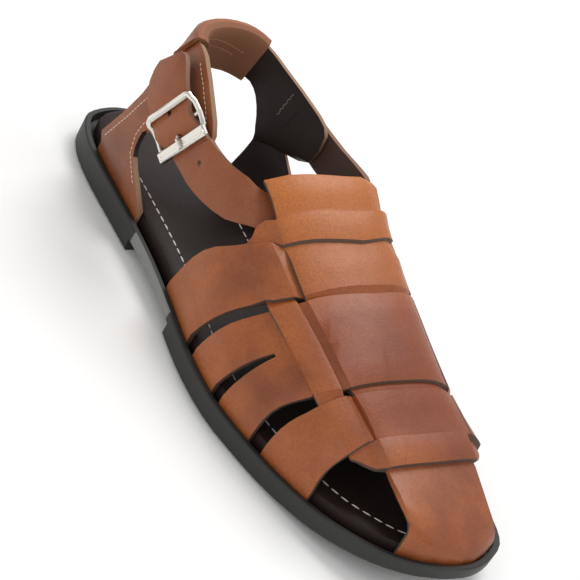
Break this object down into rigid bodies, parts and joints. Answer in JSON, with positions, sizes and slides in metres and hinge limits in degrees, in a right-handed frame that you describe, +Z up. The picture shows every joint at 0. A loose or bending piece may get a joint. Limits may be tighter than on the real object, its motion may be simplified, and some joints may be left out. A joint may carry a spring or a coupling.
{
  "type": "fisherman sandal",
  "caption": "Woven leather fisherman sandal with closed-strap upper, sling heel, side buckle, leather footbed and flat rubber sole.",
  "frame": {"origin": "on the floor under the middle of the sandal's bounding box", "axes": "+Z up, toe towards -Y, heel towards +Y, lateral side with the buckle towards -X"},
  "size_m": [0.1057, 0.3, 0.096],
  "materials": {
    "outsole": "matt black moulded rubber",
    "footbed": "dark brown smooth leather with a soft gloss",
    "upper": "cognac burnished leather, raw grey-brown edges",
    "quarter": "cognac leather with a dark lining",
    "heel_sleeve": "soft brown leather, nubuck inside",
    "ankle_strap": "cognac burnished leather",
    "buckle": "satin nickel plate"
  },
  "bodies": {
    "root": {"outsole": "outsole", "footbed": "footbed", "upper": "upper", "quarter": "quarter", "heel_sleeve": "heel_sleeve", "ankle_strap": "ankle_strap", "buckle_frame": "buckle", "buckle_prong": "buckle"}
  },
  "joints": []
}
